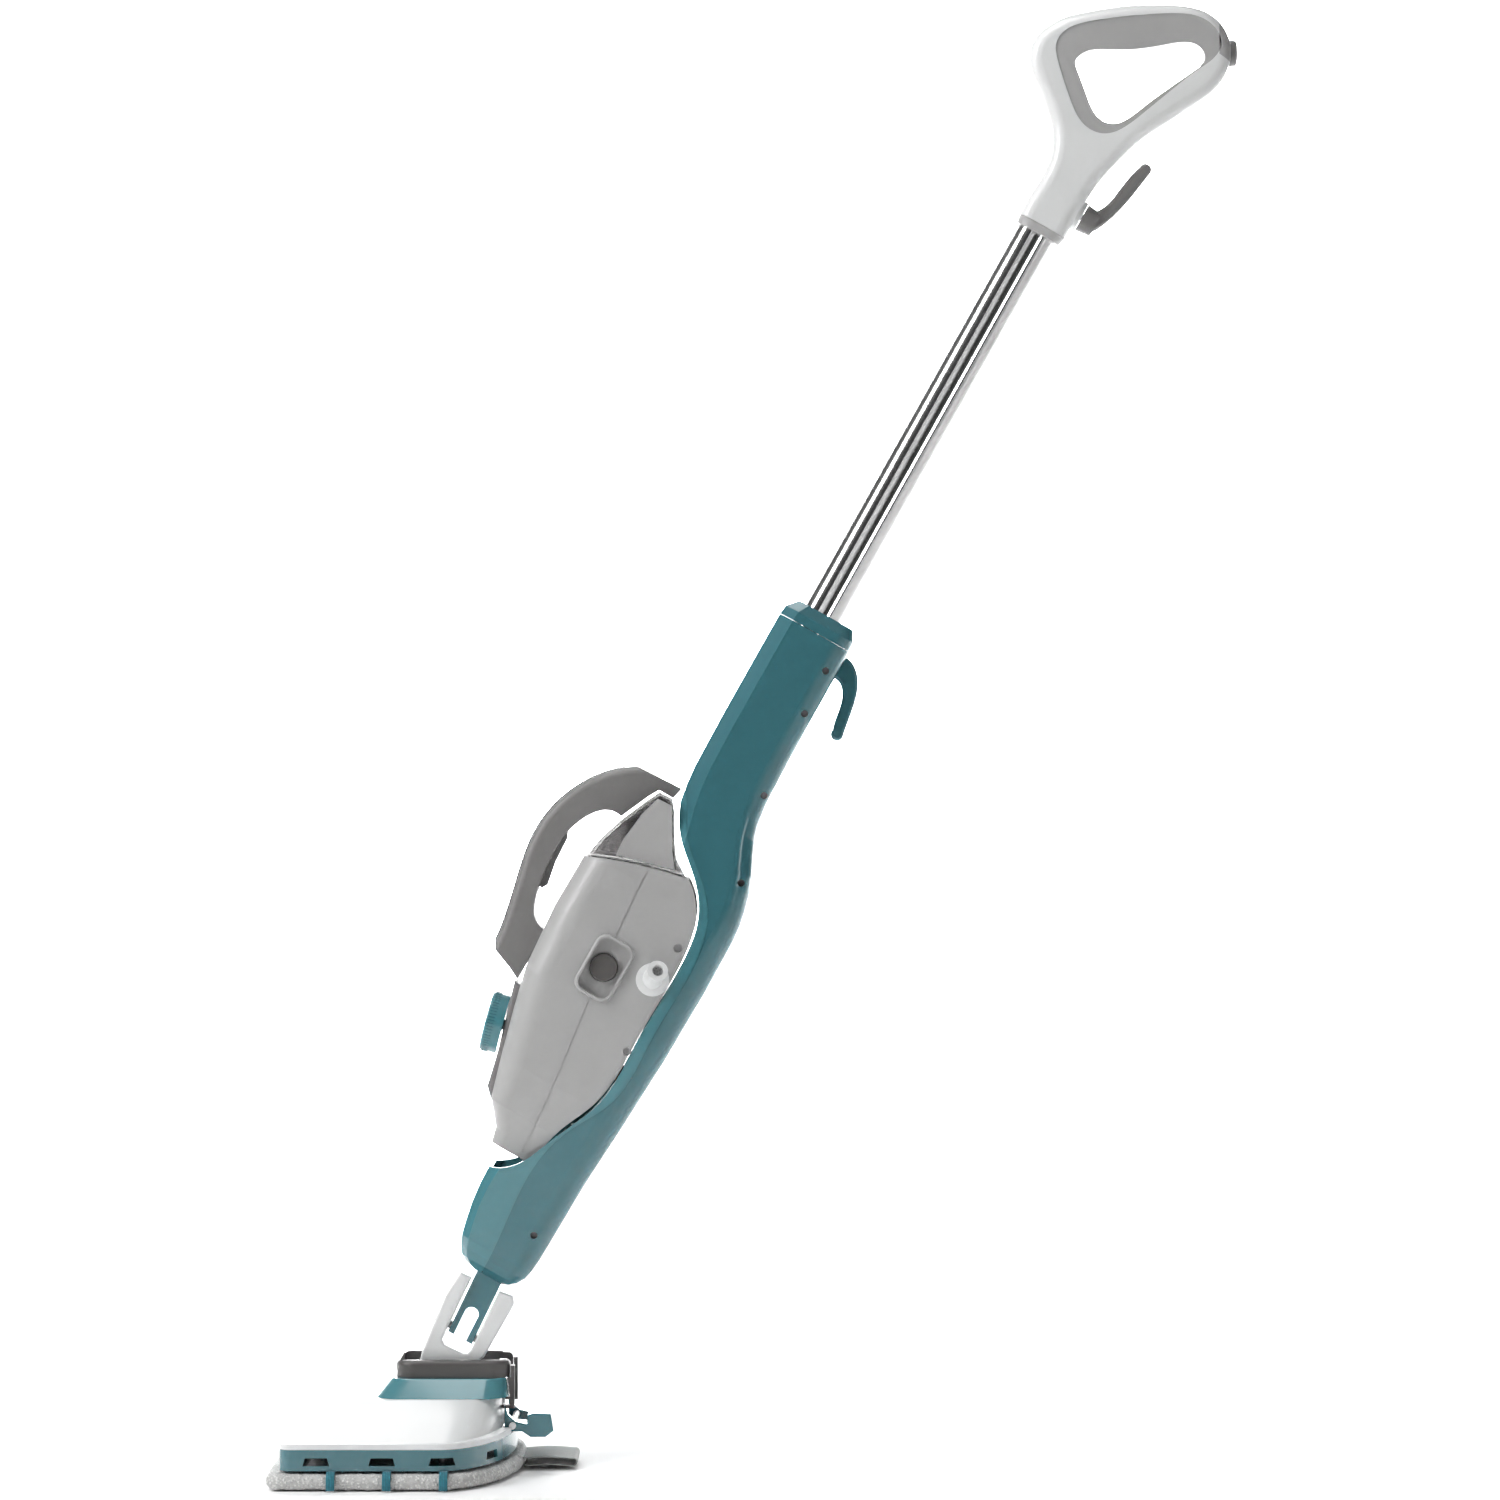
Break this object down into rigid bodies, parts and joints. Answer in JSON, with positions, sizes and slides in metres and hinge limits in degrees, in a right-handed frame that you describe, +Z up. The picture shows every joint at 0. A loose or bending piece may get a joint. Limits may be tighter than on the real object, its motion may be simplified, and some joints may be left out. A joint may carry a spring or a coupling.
{
  "type": "steam mop",
  "caption": "Upright steam mop: D-grip and bright tube wand, lift-out handheld steamer with water tank in a teal cradle, swivel neck, hinged head with foot pedal and microfibre pad",
  "frame": {"origin": "on the floor, at the centre of the mop pad's bottom face", "axes": "+Z up, -X front of the mop, +X rear, -Y the mop's left side; the wand leans back 29.3 degrees in the XZ plane"},
  "size_m": [0.708, 0.253, 1.0791],
  "materials": {
    "teal": "satin gloss moulded plastic, teal",
    "teal_light": "glossy light teal plastic",
    "white_shell": "glossy white plastic",
    "light_grey": "satin light grey plastic",
    "mid_grey": "satin mid grey plastic",
    "dark_grey": "fine-textured dark grey plastic",
    "soft_black": "matt soft-touch rubber",
    "smoke_tank": "clear smoke-tinted plastic",
    "trim_clear": "clear pale blue plastic",
    "tube_metal": "bright polished stainless steel tube",
    "steel": "plain steel",
    "brass": "machined brass",
    "boiler_alu": "cast aluminium",
    "rubber_black": "black rubber",
    "board_green": "solder-masked circuit board",
    "pad_cloth": "looped microfibre terry",
    "loop_elastic": "woven teal elastic",
    "grey_ribbon": "woven grey ribbon",
    "hook_tape": "hook tape",
    "white_hose": "white silicone rubber"
  },
  "bodies": {
    "wand": {"frame_rear_shell": "teal", "frame_front_shell": "teal_light", "cradle_wall": "teal", "steam_port_seal": "rubber_black", "frame_top_cap": "teal", "lower_cord_hook": "teal", "frame_screws": "steel", "wand_tube": "tube_metal", "steam_duct": "white_hose", "handle_shell_left": "white_shell", "handle_shell_right": "white_shell", "handle_grip_liner": "light_grey", "handle_top_trim": "trim_clear", "handle_end_cap": "light_grey", "handle_socket_collar": "light_grey", "hook_pivot_screw": "steel", "swivel_tongue": "teal"},
    "cord_hook_arm": {"cord_hook": "mid_grey"},
    "handle_button": {"handle_button": "mid_grey"},
    "handheld": {"handheld_front_shell": "light_grey", "handheld_rear_shell": "light_grey", "button_recess": "light_grey", "steam_nozzle": "white_shell", "nozzle_jet_plate": "steel", "handheld_handle": "mid_grey", "handle_soft_strip": "soft_black", "trigger_switch": "dark_grey", "trigger_pin": "steel", "dial_panel": "mid_grey", "water_tank": "smoke_tank", "tank_side_panels": "light_grey", "boiler": "boiler_alu", "thermostat": "steel", "water_pump": "dark_grey", "control_board": "board_green", "water_hose": "white_hose", "steam_spigot": "brass", "cord_gland": "rubber_black", "handheld_screws": "steel"},
    "hose_release": {"hose_release_button": "dark_grey"},
    "trigger": {"steam_trigger": "mid_grey"},
    "dial": {"steam_dial": "teal_light"},
    "filler_cap": {"tank_cap": "dark_grey"},
    "neck": {"neck_fork": "white_shell", "swing_pins": "steel", "pivot_bush": "steel"},
    "head": {"head_base": "teal", "pivot_pin": "steel", "head_cover": "white_shell", "head_dome": "teal_light", "head_collar": "dark_grey", "steam_manifold": "light_grey", "hook_strips": "hook_tape", "head_screws": "steel", "pedal_pin": "white_shell", "collar_straps": "dark_grey"},
    "pedal": {"foot_pedal": "teal"},
    "pad": {"mop_pad": "pad_cloth", "pad_loops": "loop_elastic", "pad_pull_tab": "grey_ribbon"}
  },
  "joints": [
    {"name": "side_swing", "type": "hinge", "parent": "wand", "child": "neck", "pos_m": [0.04158, 0, 0.09988], "axis": [0.8721, 0, -0.4894], "range_deg": [-30, 30]},
    {"name": "head_pitch", "type": "hinge", "parent": "neck", "child": "head", "pos_m": [0.022, 0, 0.065], "axis": [0, 1, 0], "range_deg": [-28, 29]},
    {"name": "cord_hook_swivel", "type": "hinge", "parent": "wand", "child": "cord_hook_arm", "pos_m": [0.50306, 0, 0.92224], "axis": [0.8721, 0, -0.4894], "range_deg": [0, 180]},
    {"name": "handle_button_push", "type": "slide", "parent": "wand", "child": "handle_button", "axis": [-0.9999, 0, -0.0152], "range_m": [0, 0.0015], "stiffness_N_per_m": 400},
    {"name": "handheld_lift_out", "type": "slide", "parent": "wand", "child": "handheld", "axis": [-0.8721, 0, 0.4894], "range_m": [0, 0.15]},
    {"name": "hose_release_push", "type": "slide", "parent": "handheld", "child": "hose_release", "axis": [0, 1, 0], "range_m": [0, 0.003], "stiffness_N_per_m": 400},
    {"name": "trigger_pull", "type": "hinge", "parent": "handheld", "child": "trigger", "pos_m": [0.11534, 0, 0.47245], "axis": [0, 1, 0], "range_deg": [0, 4.5], "stiffness_Nm_per_rad": 0.5},
    {"name": "dial_turn", "type": "hinge", "parent": "handheld", "child": "dial", "pos_m": [0.07465, 0, 0.32557], "axis": [-0.9662, 0, 0.2576], "range_deg": [0, 240]},
    {"name": "filler_cap_turn", "type": "hinge", "parent": "handheld", "child": "filler_cap", "pos_m": [0.1769, 0.033, 0.46771], "axis": [0, 1, 0], "range_deg": [0, 90]},
    {"name": "foot_pedal_press", "type": "hinge", "parent": "head", "child": "pedal", "pos_m": [0.082, 0, 0.034], "axis": [0, 1, 0], "range_deg": [0, 12], "stiffness_Nm_per_rad": 1.5},
    {"name": "pad_pull_off", "type": "slide", "parent": "head", "child": "pad", "axis": [0, 0, -1], "range_m": [0, 0.05]}
  ]
}
